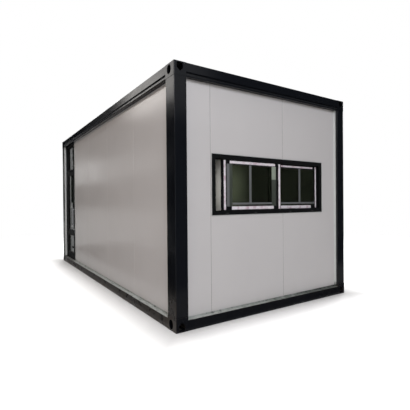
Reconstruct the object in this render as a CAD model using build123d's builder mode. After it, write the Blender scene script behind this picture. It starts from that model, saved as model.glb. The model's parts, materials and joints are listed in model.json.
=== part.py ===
from build123d import *
import os

# Overall size of the house, in millimetres. X runs along the house with the
# window end at +X, the front with the door faces -Y, and Z is up.
house_length = 5800.0
house_width = 2900.0
house_height = 2896.0

# Steel frame: corner posts and folded strip
post_along = 200.0
post_across = 150.0
post_corner_radius = 6.0
post_setback = 3.0
steel = 4.0
bend_radius = 6.0

# Corner fittings: hollow castings with a slot, an oval and a shield aperture
fitting_height = 150.0
fitting_wall = 10.0
fitting_corner_radius = 8.0
oval_width = 88.0
oval_height = 104.0
oval_from_corner = 118.0
oval_rim = 14.0
shield_width = 78.0
shield_side = 58.0
shield_point = 36.0
shield_from_corner = 72.0
shield_rim = 12.0
lock_slot_length = 110.0
lock_slot_width = 60.0

# Floor beams, joists and board
beam_depth = 150.0
floor_beam_height = 115.0
floor_beam_foot = 70.0
floor_beam_foot_lip = 20.0
floor_board_thickness = 18.0
floor_lip_clearance = 2.0
joist_height = 60.0
joist_flange = 40.0
joist_lip = 12.0
joist_steel = 3.0
joist_count = 11

# Roof beams, which carry a gutter behind their outer web
roof_beam_height = 150.0
roof_rim_width = 45.0
roof_rim_lip = 16.0
groove_from_top = 102.0
groove_depth = 15.0
groove_height = 22.0
gutter_inner_height = 95.0
roof_ledge_width = 32.0

# Roof sheet and ceiling
roof_sheet_thickness = 1.5
roof_sheet_edge_clearance = 2.0
rib_pitch = 250.0
rib_height = 24.0
rib_crest = 30.0
rib_slope = 16.0
ceiling_thickness = 12.0
ceiling_groove_pitch = 260.0
ceiling_groove_width = 8.0
ceiling_groove_depth = 3.0

# Sandwich wall panels
wall_recess = 60.0
wall_thickness = 75.0
panel_cover = 1165.0
window_seam_margin = 14.0
panel_joint_gap = 1.0
panel_joint_chamfer = 3.0
tongue_length = 12.0
tongue_width = 24.0
tongue_clearance = 1.5

# Flashings along the foot and the upright edges of the walls
flashing_sheet = 2.0
flashing_rise = 20.0
flashing_setback = 5.0
edge_trim_face = 12.0

# Sliding window in the end wall
window_width = 1934.0
window_height = 710.0
window_sill = 1240.0
window_offset = 28.0
window_flange_overlap = 25.0
window_flange_proud = 8.0
window_face = 50.0
window_inner_proud = 5.0
track_depth = 15.0
track_setback = 15.0
track_spacing = 30.0
sash_thickness = 22.0
sash_side_clearance = 1.0
sash_head_clearance = 4.0
sash_overlap = 70.0
sash_stile = 62.0
sash_rail = 62.0
sash_open_gap = 115.0
window_glass_thickness = 5.0

# Door bay at the far end of the front wall
door_bay = 800.0
door_frame_face = 45.0
door_frame_depth = 70.0
door_sill = 30.0
door_head_level = 2130.0
transom_bar = 45.0
door_stop = 12.0
door_stop_clearance = 8.0
threshold_thickness = 4.0
transom_glass_thickness = 6.0

# Door leaf
leaf_thickness = 45.0
leaf_hinge_gap = 6.0
leaf_lock_gap = 8.0
leaf_sill_gap = 8.0
leaf_head_gap = 8.0
leaf_stile = 95.0
leaf_top_rail = 75.0
leaf_lock_rail = 120.0
leaf_lock_rail_level = 720.0
leaf_bottom_rail = 110.0
door_glass_thickness = 6.0

# Hinges and pull handles of the door
hinge_pin_radius = 4.0
hinge_pin_clearance = 0.3
hinge_knuckle_radius = 9.0
hinge_knuckle_height = 45.0
hinge_knuckle_gap = 1.0
hinge_plate_width = 32.0
hinge_plate_thickness = 4.0
hinge_standoff = 12.0
hinge_end_margin = 220.0
hinge_count = 3
pull_bar_radius = 9.0
pull_bracket_width = 12.0
pull_bracket_height = 16.0
pull_length = 360.0
pull_level = 1080.0
pull_standoff = 38.0

os.makedirs("parts", exist_ok=True)


def save(piece, name):
    """Label one finished piece and write it to its own file."""
    piece.part.label = name
    export_step(piece.part, f"parts/{name}.step")


def side_frame(turn, house_depth):
    """Frame of one side: x along the wall, y inwards from the outer face, z up."""
    turned = Plane.XY.rotated((0, 0, turn))
    return turned.shift_origin(turned.from_local_coords((0, -house_depth / 2, 0)))


def face_plane(side, depth):
    """Upright plane at a depth behind one side's outer face: x along the wall, y up."""
    origin = side.from_local_coords((0, depth, 0))
    return Plane(origin=origin, x_dir=side.x_dir, z_dir=-side.y_dir)


def section_plane(side, start, level):
    """Plane across one side: x inwards from the outer face, y up, z along the wall."""
    origin = side.from_local_coords((start, 0, level))
    return Plane(origin=origin, x_dir=side.y_dir, z_dir=side.x_dir)


# Places that several pieces share
sides = {
    "front": side_frame(0, house_width),
    "window_end": side_frame(90, house_length),
    "back": side_frame(180, house_width),
    "plain_end": side_frame(270, house_length),
}
long_run = house_length - 2 * post_along
end_run = house_width - 2 * post_across
clear_runs = {"front": long_run, "window_end": end_run, "back": long_run, "plain_end": end_run}
wall_foot = floor_beam_height
wall_head = house_height - roof_beam_height
wall_height = wall_head - wall_foot
wall_middle = wall_recess + wall_thickness / 2
inner_length = house_length - 2 * beam_depth
inner_width = house_width - 2 * beam_depth


def folded_beam(side, run, level, outline, folded_to):
    """Strip of steel folded along an outline and drawn out along one side."""
    with BuildPart() as beam:
        with BuildSketch(section_plane(side, -run / 2, level)):
            with BuildLine():
                FilletPolyline(*outline, radius=bend_radius)
                offset(amount=steel, side=folded_to)
            make_face()
        extrude(amount=run)
    return beam


# Floor beams: outer web, foot and the top flange that the walls stand on
floor_beam_lip = floor_board_thickness - floor_lip_clearance
floor_beam_outline = [
    (floor_beam_foot, floor_beam_foot_lip),
    (floor_beam_foot, 0),
    (0, 0),
    (0, floor_beam_height),
    (beam_depth, floor_beam_height),
    (beam_depth, floor_beam_height - floor_beam_lip),
]
for side_name, side in sides.items():
    floor_beam = folded_beam(side, clear_runs[side_name], 0, floor_beam_outline, Side.RIGHT)
    save(floor_beam, f"floor_beam_{side_name}")

# Roof beams: rolled rim, grooved web, gutter floor and the ledge for the roof sheet
groove_top = roof_beam_height - groove_from_top
groove_foot = groove_top - groove_height
roof_beam_outline = [
    (roof_rim_width, roof_beam_height - roof_rim_lip),
    (roof_rim_width, roof_beam_height),
    (0, roof_beam_height),
    (0, groove_top),
    (groove_depth, groove_top),
    (groove_depth, groove_foot),
    (0, groove_foot),
    (0, 0),
    (beam_depth, 0),
    (beam_depth, gutter_inner_height),
    (beam_depth + roof_ledge_width, gutter_inner_height),
]
for side_name, side in sides.items():
    roof_beam = folded_beam(side, clear_runs[side_name], wall_head, roof_beam_outline, Side.LEFT)
    save(roof_beam, f"roof_beam_{side_name}")

# Corner posts: closed sections between the fittings, set back from their outer faces
post_height = house_height - 2 * fitting_height
post_width = post_along - post_setback
post_depth = post_across - post_setback
post_places = {
    "front_window": (1, -1),
    "back_window": (1, 1),
    "back_plain": (-1, 1),
    "front_plain": (-1, -1),
}
for corner, (along, across) in post_places.items():
    post_x = along * (house_length - post_along - post_setback) / 2
    post_y = across * (house_width - post_across - post_setback) / 2
    with BuildPart() as corner_post:
        with BuildSketch(Plane.XY.offset(fitting_height)):
            with Locations((post_x, post_y)):
                RectangleRounded(post_width, post_depth, post_corner_radius)
                Rectangle(post_width - 2 * steel, post_depth - 2 * steel, mode=Mode.SUBTRACT)
        extrude(amount=post_height)
    save(corner_post, f"corner_post_{corner}")


def corner_fittings(outer_level, up):
    """Four hollow castings that start at an outer level and rise (up=1) or hang (up=-1)."""
    middle_x = (house_length - post_along) / 2
    middle_y = (house_width - post_across) / 2
    long_face = Plane(
        origin=(house_length / 2 - oval_from_corner, house_width / 2, outer_level),
        x_dir=(-1, 0, 0),
        z_dir=(0, 1, 0),
    )
    end_face = Plane(
        origin=(house_length / 2, house_width / 2 - shield_from_corner, outer_level),
        x_dir=(0, 1, 0),
        z_dir=(1, 0, 0),
    )
    shield_outline = [
        (-shield_width / 2, up * shield_rim),
        (shield_width / 2, up * shield_rim),
        (shield_width / 2, up * (shield_rim + shield_side)),
        (0, up * (shield_rim + shield_side + shield_point)),
        (-shield_width / 2, up * (shield_rim + shield_side)),
    ]
    with BuildPart() as fittings:
        with BuildSketch(Plane.XY.offset(outer_level)) as plan:
            with Locations((middle_x, middle_y)):
                Rectangle(post_along, post_across)
            fillet(plan.vertices().sort_by(Axis((0, 0, 0), (1, 1, 0)))[-1], radius=fitting_corner_radius)
        extrude(amount=up * fitting_height)
        with Locations((middle_x, middle_y, outer_level + up * fitting_height / 2)):
            Box(
                post_along - 2 * fitting_wall,
                post_across - 2 * fitting_wall,
                fitting_height - 2 * fitting_wall,
                mode=Mode.SUBTRACT,
            )
        with BuildSketch(Plane.XY.offset(outer_level)):
            with Locations((middle_x, middle_y)):
                SlotOverall(lock_slot_length, lock_slot_width)
        extrude(amount=fitting_wall, both=True, mode=Mode.SUBTRACT)
        with BuildSketch(long_face):
            with Locations((0, up * (oval_rim + oval_height / 2))):
                SlotOverall(oval_height, oval_width, rotation=90)
        extrude(amount=fitting_wall, both=True, mode=Mode.SUBTRACT)
        with BuildSketch(end_face):
            with BuildLine():
                Polyline(*shield_outline, close=True)
            make_face()
        extrude(amount=fitting_wall, both=True, mode=Mode.SUBTRACT)
        mirror(about=Plane.XZ)
        mirror(about=Plane.YZ)
    return fittings


save(corner_fittings(0, 1), "floor_corner_fittings")
save(corner_fittings(house_height, -1), "roof_corner_fittings")

# Floor joists: lipped channels from web to web of the long floor beams
floor_board_foot = floor_beam_height - floor_board_thickness
joist_length = house_width - 2 * steel
joist_spacing = long_run / (joist_count + 1)
joist_outline = [
    (joist_flange, joist_lip),
    (joist_flange, 0),
    (0, 0),
    (0, joist_height),
    (joist_flange, joist_height),
    (joist_flange, joist_height - joist_lip),
]
with BuildPart() as floor_joists:
    for number in range(joist_count):
        joist_x = (number + 1) * joist_spacing - long_run / 2 - joist_flange / 2
        joist_start = Plane(
            origin=(joist_x, joist_length / 2, floor_board_foot - joist_height),
            x_dir=(1, 0, 0),
            z_dir=(0, -1, 0),
        )
        with BuildSketch(joist_start):
            with BuildLine():
                Polyline(*joist_outline)
                offset(amount=joist_steel, side=Side.RIGHT, kind=Kind.INTERSECTION)
            make_face()
        extrude(amount=joist_length)
save(floor_joists, "floor_joists")

with BuildPart() as floor_board:
    with BuildSketch(Plane.XY.offset(floor_board_foot)):
        Rectangle(inner_length, inner_width)
    extrude(amount=floor_board_thickness)
save(floor_board, "floor_board")

# Roof sheet: ribs across the house, pans lying on the ledges of the roof beams
sheet_length = inner_length - 2 * roof_sheet_edge_clearance
sheet_width = inner_width - 2 * roof_sheet_edge_clearance
sheet_level = wall_head + gutter_inner_height + steel
rib_foot = rib_crest + 2 * rib_slope
rib_count = int((sheet_length - rib_foot) // rib_pitch)
sheet_outline = [(-sheet_length / 2, 0)]
for number in range(rib_count):
    rib_x = (number - (rib_count - 1) / 2) * rib_pitch
    sheet_outline += [
        (rib_x - rib_foot / 2, 0),
        (rib_x - rib_crest / 2, rib_height),
        (rib_x + rib_crest / 2, rib_height),
        (rib_x + rib_foot / 2, 0),
    ]
sheet_outline.append((sheet_length / 2, 0))
sheet_start = Plane(origin=(0, sheet_width / 2, sheet_level), x_dir=(1, 0, 0), z_dir=(0, -1, 0))
with BuildPart() as roof_sheet:
    with BuildSketch(sheet_start):
        with BuildLine():
            Polyline(*sheet_outline)
            offset(amount=roof_sheet_thickness, side=Side.LEFT, kind=Kind.INTERSECTION)
        make_face()
    extrude(amount=sheet_width)
save(roof_sheet, "roof_sheet")

# Ceiling: boards grooved on the room side, level with the undersides of the beams
groove_count = int(inner_length // ceiling_groove_pitch)
with BuildPart() as ceiling_panel:
    with BuildSketch(Plane.XY.offset(wall_head)):
        Rectangle(inner_length, inner_width)
    extrude(amount=ceiling_thickness)
    with BuildSketch(Plane.XY.offset(wall_head)):
        with GridLocations(ceiling_groove_pitch, 0, groove_count, 1):
            Rectangle(ceiling_groove_width, inner_width)
    extrude(amount=ceiling_groove_depth, mode=Mode.SUBTRACT)
save(ceiling_panel, "ceiling_panel")


def wall_panels(side, seams):
    """Sandwich panels between seams, tongued into each other, for one side."""
    panels = []
    last = len(seams) - 2
    for number, (left, right) in enumerate(zip(seams, seams[1:])):
        left_edge = left if number == 0 else left + panel_joint_gap / 2
        right_edge = right if number == last else right - panel_joint_gap / 2
        with BuildPart() as panel:
            with BuildSketch(side.offset(wall_foot)) as plan:
                with Locations(((left_edge + right_edge) / 2, wall_middle)):
                    Rectangle(right_edge - left_edge, wall_thickness)
                chamfer(plan.vertices().group_by(Axis.Y)[0], length=panel_joint_chamfer)
                if number < last:
                    with Locations((right_edge, wall_middle)):
                        Rectangle(tongue_length, tongue_width, align=(Align.MIN, Align.CENTER))
                if number > 0:
                    with Locations((left_edge, wall_middle)):
                        Rectangle(
                            tongue_length + tongue_clearance,
                            tongue_width + 2 * tongue_clearance,
                            align=(Align.MIN, Align.CENTER),
                            mode=Mode.SUBTRACT,
                        )
            extrude(amount=wall_height)
        panels.append(panel)
    return panels


def cover_seams(start, end):
    """Seams of full panels from the start of a wall, with the last panel cut to its end."""
    full_panels = int((end - start) // panel_cover)
    return [start + number * panel_cover for number in range(full_panels + 1)] + [end]


# Front wall, from the door bay to the window end
door_bay_left = -long_run / 2
door_bay_right = door_bay_left + door_bay
front_seams = cover_seams(door_bay_right, long_run / 2)
for number, panel in enumerate(wall_panels(sides["front"], front_seams)):
    save(panel, f"front_wall_panel_{number + 1}")

# Back wall and plain end wall, each one piece of several loose panels
window_seam = window_offset - window_width / 2 - window_seam_margin
end_seams = [-end_run / 2, window_seam, window_seam + panel_cover, end_run / 2]
with BuildPart() as back_wall_panels:
    for panel in wall_panels(sides["back"], cover_seams(-long_run / 2, long_run / 2)):
        add(panel.part)
save(back_wall_panels, "back_wall_panels")
with BuildPart() as plain_end_panels:
    for panel in wall_panels(sides["plain_end"], end_seams):
        add(panel.part)
save(plain_end_panels, "plain_end_panels")

# Window end wall, with the cut-out for the window frame
window_side = sides["window_end"]
window_middle = window_sill + window_height / 2
cutout_width = window_width - 2 * window_flange_overlap
cutout_height = window_height - 2 * window_flange_overlap
for number, panel in enumerate(wall_panels(window_side, end_seams)):
    with BuildPart() as window_end_panel:
        add(panel.part)
        with BuildSketch(face_plane(window_side, wall_recess)):
            with Locations((window_offset, window_middle)):
                Rectangle(cutout_width, cutout_height)
        extrude(amount=-wall_thickness, mode=Mode.SUBTRACT)
    save(window_end_panel, f"window_end_panel_{number + 1}")

# Window frame: flange over the panels, body through the wall, two tracks for the sashes
opening_width = window_width - 2 * window_face
opening_height = window_height - 2 * window_face
track_width = opening_width + 2 * track_depth
track_height = opening_height + 2 * track_depth
track_room = sash_thickness + 2 * sash_side_clearance
outer_track = wall_recess - window_flange_proud + track_setback
inner_track = outer_track + track_spacing
frame_front = wall_recess - window_flange_proud
frame_back = wall_recess + wall_thickness + window_inner_proud
with BuildPart() as window_frame:
    with BuildSketch(face_plane(window_side, frame_front)):
        with Locations((window_offset, window_middle)):
            Rectangle(window_width, window_height)
            Rectangle(opening_width, opening_height, mode=Mode.SUBTRACT)
    extrude(amount=-window_flange_proud)
    with BuildSketch(face_plane(window_side, wall_recess)):
        with Locations((window_offset, window_middle)):
            Rectangle(cutout_width, cutout_height)
            Rectangle(opening_width, opening_height, mode=Mode.SUBTRACT)
    extrude(amount=-(frame_back - wall_recess))
    for track in (outer_track, inner_track):
        with BuildSketch(face_plane(window_side, track)):
            with Locations((window_offset, window_middle)):
                Rectangle(track_width, track_height)
        extrude(amount=-track_room, mode=Mode.SUBTRACT)
save(window_frame, "window_frame")

# Sashes: the left one runs in the outer track and stands ajar, the right one is shut
sash_width = (track_width + sash_overlap) / 2
sash_height = track_height - sash_head_clearance
sash_middle = window_middle - sash_head_clearance / 2
sash_places = {
    "left": (window_offset - track_width / 2 + sash_open_gap + sash_width / 2, outer_track),
    "right": (window_offset + track_width / 2 - sash_width / 2, inner_track),
}
pane_width = sash_width - 2 * sash_stile
pane_height = sash_height - 2 * sash_rail
for hand, (sash_x, track) in sash_places.items():
    sash_front = track + sash_side_clearance
    with BuildPart() as window_sash:
        with BuildSketch(face_plane(window_side, sash_front)):
            with Locations((sash_x, sash_middle)):
                Rectangle(sash_width, sash_height)
                Rectangle(pane_width, pane_height, mode=Mode.SUBTRACT)
        extrude(amount=-sash_thickness)
    save(window_sash, f"window_sash_{hand}")
    glass_front = sash_front + (sash_thickness - window_glass_thickness) / 2
    with BuildPart() as window_glass:
        with BuildSketch(face_plane(window_side, glass_front)):
            with Locations((sash_x, sash_middle)):
                Rectangle(pane_width, pane_height)
        extrude(amount=-window_glass_thickness)
    save(window_glass, f"window_glass_{hand}")

# Door frame: jambs, head, sill and transom bar, with a stop behind the leaf
door_side = sides["front"]
bay_middle = (door_bay_left + door_bay_right) / 2
doorway_width = door_bay - 2 * door_frame_face
doorway_foot = wall_foot + door_sill
transom_foot = door_head_level + transom_bar
transom_head = wall_head - door_frame_face
stop_front = wall_recess + leaf_thickness + door_stop_clearance
stop_depth = door_frame_depth - leaf_thickness - door_stop_clearance
doorway_middle = (doorway_foot + door_head_level) / 2
transom_middle = (transom_foot + transom_head) / 2
with BuildPart() as door_frame:
    with BuildSketch(face_plane(door_side, wall_recess)):
        with Locations((bay_middle, (wall_foot + wall_head) / 2)):
            Rectangle(door_bay, wall_height)
        with Locations((bay_middle, doorway_middle)):
            Rectangle(doorway_width, door_head_level - doorway_foot, mode=Mode.SUBTRACT)
        with Locations((bay_middle, transom_middle)):
            Rectangle(doorway_width, transom_head - transom_foot, mode=Mode.SUBTRACT)
    extrude(amount=-door_frame_depth)
    with BuildSketch(face_plane(door_side, stop_front)):
        with Locations((bay_middle, doorway_middle)):
            Rectangle(doorway_width, door_head_level - doorway_foot)
        with Locations((bay_middle, doorway_middle - door_stop / 2)):
            Rectangle(
                doorway_width - 2 * door_stop,
                door_head_level - doorway_foot - door_stop,
                mode=Mode.SUBTRACT,
            )
    extrude(amount=-stop_depth)
save(door_frame, "door_frame")

with BuildPart() as transom_glass:
    glass_front = wall_recess + (door_frame_depth - transom_glass_thickness) / 2
    with BuildSketch(face_plane(door_side, glass_front)):
        with Locations((bay_middle, transom_middle)):
            Rectangle(doorway_width, transom_head - transom_foot)
    extrude(amount=-transom_glass_thickness)
save(transom_glass, "transom_glass")

# Threshold plate on the floor beam in front of the door
with BuildPart() as door_threshold:
    with BuildSketch(door_side.offset(wall_foot)):
        with Locations((bay_middle, (flashing_setback + wall_recess) / 2)):
            Rectangle(door_bay, wall_recess - flashing_setback)
    extrude(amount=threshold_thickness)
save(door_threshold, "door_threshold")

# Door leaf: stiles and rails around two panes
leaf_left = door_bay_left + door_frame_face + leaf_hinge_gap
leaf_right = door_bay_right - door_frame_face - leaf_lock_gap
leaf_foot = doorway_foot + leaf_sill_gap
leaf_head = door_head_level - leaf_head_gap
leaf_middle = (leaf_left + leaf_right) / 2
leaf_pane_width = leaf_right - leaf_left - 2 * leaf_stile
lock_rail_foot = leaf_lock_rail_level - leaf_lock_rail / 2
lock_rail_head = leaf_lock_rail_level + leaf_lock_rail / 2
leaf_panes = [
    (leaf_foot + leaf_bottom_rail, lock_rail_foot),
    (lock_rail_head, leaf_head - leaf_top_rail),
]
with BuildPart() as door_leaf:
    with BuildSketch(face_plane(door_side, wall_recess)):
        with Locations((leaf_middle, (leaf_foot + leaf_head) / 2)):
            Rectangle(leaf_right - leaf_left, leaf_head - leaf_foot)
        for pane_foot, pane_head in leaf_panes:
            with Locations((leaf_middle, (pane_foot + pane_head) / 2)):
                Rectangle(leaf_pane_width, pane_head - pane_foot, mode=Mode.SUBTRACT)
    extrude(amount=-leaf_thickness)
save(door_leaf, "door_leaf")

with BuildPart() as door_glass:
    glass_front = wall_recess + (leaf_thickness - door_glass_thickness) / 2
    with BuildSketch(face_plane(door_side, glass_front)):
        for pane_foot, pane_head in leaf_panes:
            with Locations((leaf_middle, (pane_foot + pane_head) / 2)):
                Rectangle(leaf_pane_width, pane_head - pane_foot)
    extrude(amount=-door_glass_thickness)
save(door_glass, "door_glass")

# Hinges: the axis stands in front of the gap between the jamb and the leaf
hinge_x = leaf_left - leaf_hinge_gap / 2
hinge_depth = wall_recess - hinge_standoff
hinge_height = 2 * hinge_knuckle_height + hinge_knuckle_gap
hinge_first = leaf_foot + hinge_end_margin
hinge_step = (leaf_head - leaf_foot - 2 * hinge_end_margin - hinge_height) / (hinge_count - 1)
hinge_levels = [hinge_first + number * hinge_step for number in range(hinge_count)]


def hinge_plan(level, hand):
    """Plan of a knuckle with its plate, on the jamb (hand=-1) or on the leaf (hand=1)."""
    plate_align = (Align.MAX if hand < 0 else Align.MIN, Align.MAX)
    with BuildSketch(door_side.offset(level)) as plan:
        with Locations((hinge_x, hinge_depth)):
            Circle(hinge_knuckle_radius)
        with Locations((hinge_x, wall_recess)):
            Rectangle(hinge_plate_width, hinge_plate_thickness, align=plate_align)
            Rectangle(hinge_knuckle_radius, hinge_standoff, align=plate_align)
    return plan.sketch


with BuildPart() as door_hinge_jamb_halves:
    for level in hinge_levels:
        extrude(hinge_plan(level, -1), amount=hinge_knuckle_height)
        with BuildSketch(door_side.offset(level)):
            with Locations((hinge_x, hinge_depth)):
                Circle(hinge_pin_radius)
        extrude(amount=hinge_height)
save(door_hinge_jamb_halves, "door_hinge_jamb_halves")

with BuildPart() as door_hinge_leaf_halves:
    for level in hinge_levels:
        upper_level = level + hinge_knuckle_height + hinge_knuckle_gap
        extrude(hinge_plan(upper_level, 1), amount=hinge_knuckle_height)
        with BuildSketch(door_side.offset(upper_level)):
            with Locations((hinge_x, hinge_depth)):
                Circle(hinge_pin_radius + hinge_pin_clearance)
        extrude(amount=hinge_knuckle_height, mode=Mode.SUBTRACT)
save(door_hinge_leaf_halves, "door_hinge_leaf_halves")

# Pull handles: an upright rod with a flat bracket at each end, outside and inside the leaf
pull_x = leaf_right - leaf_stile / 2
bracket_spacing = pull_length - pull_bracket_height
with BuildPart() as door_pulls:
    for face, outward in ((wall_recess, -1), (wall_recess + leaf_thickness, 1)):
        reach = face + outward * pull_standoff
        with BuildSketch(door_side.offset(pull_level - pull_length / 2)):
            with Locations((pull_x, reach)):
                Circle(pull_bar_radius)
        extrude(amount=pull_length)
        with BuildSketch(face_plane(door_side, face)):
            with Locations((pull_x, pull_level)):
                with GridLocations(0, bracket_spacing, 1, 2):
                    Rectangle(pull_bracket_width, pull_bracket_height)
        extrude(amount=-outward * pull_standoff)
save(door_pulls, "door_pulls")

# Flashing along the foot of each wall: over the floor beam and up the panels
flashing_runs = {
    "front": (door_bay_right, long_run / 2),
    "window_end": (-end_run / 2, end_run / 2),
    "back": (-long_run / 2, long_run / 2),
    "plain_end": (-end_run / 2, end_run / 2),
}
flashing_outline = [
    (flashing_setback, 0),
    (wall_recess, 0),
    (wall_recess, flashing_rise),
]
with BuildPart() as base_flashing:
    for side_name, (start, end) in flashing_runs.items():
        with BuildSketch(section_plane(sides[side_name], start, wall_foot)):
            with BuildLine():
                Polyline(*flashing_outline)
                offset(amount=flashing_sheet, side=Side.LEFT, kind=Kind.INTERSECTION)
            make_face()
        extrude(amount=end - start)
save(base_flashing, "base_flashing")

# Upright trims: over the post's return and onto the wall, at both ends of each wall
trim_foot = wall_foot + flashing_rise
with BuildPart() as wall_edge_trims:
    for side_name, side in sides.items():
        for end in (-1, 1):
            edge = end * clear_runs[side_name] / 2
            trim_outline = [
                (edge, flashing_setback),
                (edge, wall_recess),
                (edge - end * edge_trim_face, wall_recess),
            ]
            with BuildSketch(side.offset(trim_foot)):
                with BuildLine():
                    Polyline(*trim_outline)
                    offset(
                        amount=flashing_sheet,
                        side=Side.LEFT if end > 0 else Side.RIGHT,
                        kind=Kind.INTERSECTION,
                    )
                make_face()
            extrude(amount=wall_head - trim_foot)
save(wall_edge_trims, "wall_edge_trims")
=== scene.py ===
import json
import math

import bpy
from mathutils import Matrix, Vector


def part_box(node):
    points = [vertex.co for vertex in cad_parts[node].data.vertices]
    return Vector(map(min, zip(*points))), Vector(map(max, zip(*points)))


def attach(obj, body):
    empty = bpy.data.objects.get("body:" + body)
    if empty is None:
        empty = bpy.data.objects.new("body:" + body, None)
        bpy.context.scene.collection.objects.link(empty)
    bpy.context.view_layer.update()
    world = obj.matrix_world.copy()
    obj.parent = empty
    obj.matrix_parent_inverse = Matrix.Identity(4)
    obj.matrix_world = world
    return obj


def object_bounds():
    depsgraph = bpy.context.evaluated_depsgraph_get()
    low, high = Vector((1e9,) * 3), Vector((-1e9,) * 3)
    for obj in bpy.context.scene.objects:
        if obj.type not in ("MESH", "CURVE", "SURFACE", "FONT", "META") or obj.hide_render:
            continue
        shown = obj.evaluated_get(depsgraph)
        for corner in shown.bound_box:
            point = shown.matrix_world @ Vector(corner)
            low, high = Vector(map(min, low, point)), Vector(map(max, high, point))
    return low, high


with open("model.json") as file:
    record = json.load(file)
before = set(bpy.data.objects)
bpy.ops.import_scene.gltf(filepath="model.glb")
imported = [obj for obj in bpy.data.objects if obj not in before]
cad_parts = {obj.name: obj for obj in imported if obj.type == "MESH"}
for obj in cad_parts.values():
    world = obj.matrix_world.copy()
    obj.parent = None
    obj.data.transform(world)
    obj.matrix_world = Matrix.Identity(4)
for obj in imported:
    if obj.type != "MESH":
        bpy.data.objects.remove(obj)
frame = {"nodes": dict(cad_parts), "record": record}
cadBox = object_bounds()
nodes = frame["nodes"]
scene = bpy.context.scene
scene.view_settings.view_transform = "Standard"
print("frame loaded,", len(nodes), "nodes")

quarter = math.radians(90)  # a quarter turn
hair, hairDigits = 0.0001, 4  # places closer than this, in metres, count as the same
squareOn = 0.9  # share of a normal that has to point one way


# Small helpers for modelling

def freshStart():
    if bpy.context.mode != "OBJECT":
        bpy.ops.object.mode_set(mode="OBJECT")
    bpy.ops.object.select_all(action="DESELECT")


def named(name):
    piece = bpy.context.active_object  # place goes into the mesh
    piece.name = name
    piece.data.name = name
    bpy.ops.object.transform_apply(location=True, rotation=True, scale=True)
    return piece


def block(name, low, high):
    freshStart()
    middle = [(a + b) / 2 for a, b in zip(low, high)]
    size = [b - a for a, b in zip(low, high)]
    bpy.ops.mesh.primitive_cube_add(size=1, location=middle, scale=size)
    return named(name)


def flatCard(name, middle, turn, size):
    freshStart()
    bpy.ops.mesh.primitive_plane_add(size=1, location=middle, rotation=turn)
    bpy.context.active_object.scale = (*size, 1)
    return named(name)


def joined(name, parts):
    # the part made last is the active one, and takes in the others
    for part in parts:
        part.select_set(True)
    bpy.ops.object.join()
    return named(name)


def pick(piece, kind, test):
    # leaves the piece in edit mode with only the wanted parts selected
    bpy.ops.object.mode_set(mode="EDIT")
    bpy.ops.mesh.select_mode(type=kind)
    bpy.ops.mesh.select_all(action="DESELECT")
    bpy.ops.object.mode_set(mode="OBJECT")
    mesh = piece.data
    parts = {"FACE": mesh.polygons, "EDGE": mesh.edges, "VERT": mesh.vertices}[kind]
    for part in parts:
        part.select = test(part)
    bpy.ops.object.mode_set(mode="EDIT")


def flatRing(band):
    # leaves the active card in edit mode as a ring, all of it selected
    bpy.ops.object.mode_set(mode="EDIT")
    bpy.ops.mesh.select_all(action="SELECT")
    bpy.ops.mesh.inset(thickness=band)
    bpy.ops.mesh.delete(type="FACE")
    bpy.ops.mesh.select_all(action="SELECT")


def push(move):
    bpy.ops.mesh.extrude_region_move(TRANSFORM_OT_translate={"value": move})


def finishMesh(piece, angle=40):
    bpy.ops.object.mode_set(mode="EDIT")
    bpy.ops.mesh.select_all(action="SELECT")
    bpy.ops.mesh.remove_doubles(threshold=0.00001)
    bpy.ops.mesh.normals_make_consistent(inside=False)
    bpy.ops.object.mode_set(mode="OBJECT")
    bpy.ops.object.shade_smooth_by_angle(angle=math.radians(angle))


def applyModifier(piece, kind, **settings):
    modifier = piece.modifiers.new(kind.title(), kind)
    for key, value in settings.items():
        setattr(modifier, key, value)
    bpy.ops.object.modifier_apply(modifier=modifier.name)


def soften(piece, width, segments=2):
    applyModifier(piece, "BEVEL", width=width, segments=segments, limit_method="ANGLE")
    finishMesh(piece)


def copyTo(seed, name, places, turn=(0, 0, 0)):
    # one copy with its own mesh at each place, joined into one piece
    freshStart()
    for place in places:
        twin = seed.copy()
        twin.data = seed.data.copy()
        scene.collection.objects.link(twin)
        twin.location = place
        twin.rotation_euler = turn
        twin.select_set(True)
        bpy.context.view_layer.objects.active = twin
    bpy.ops.object.join()
    return named(name)


def dress(piece, material, body):
    piece.data.materials.clear()
    piece.data.materials.append(material)
    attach(piece, body)


def between(start, end, spacing):
    # evenly spaced places from start to end, near the wanted spacing
    count = max(1, round((end - start) / spacing))
    return [start + (end - start) * step / count for step in range(count + 1)]


# Small helpers for materials

def hexColour(code):
    channels = [int(code[start:start + 2], 16) / 255 for start in (1, 3, 5)]
    linear = [c / 12.92 if c <= 0.04045 else ((c + 0.055) / 1.055) ** 2.4 for c in channels]
    return (*linear, 1.0)


def perMetre(millimetres):
    return 1000.0 / millimetres  # pattern scale for a feature of that size


def wire(material, node, links):
    # a node given as a value stands for its first output in use
    for socket, value in links.items():
        if isinstance(value, bpy.types.Node):
            value = next(output for output in value.outputs if output.enabled)
        if isinstance(value, bpy.types.NodeSocket):
            material.node_tree.links.new(value, node.inputs[socket])
        else:
            node.inputs[socket].default_value = value


def addNode(material, kind, links, **settings):
    node = material.node_tree.nodes.new("ShaderNode" + kind)
    for key, value in settings.items():
        setattr(node, key, value)
    wire(material, node, links)
    return node


def startMaterial(name):
    material = bpy.data.materials.new(name)
    material.use_nodes = True
    return material, material.node_tree.nodes["Principled BSDF"]


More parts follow.
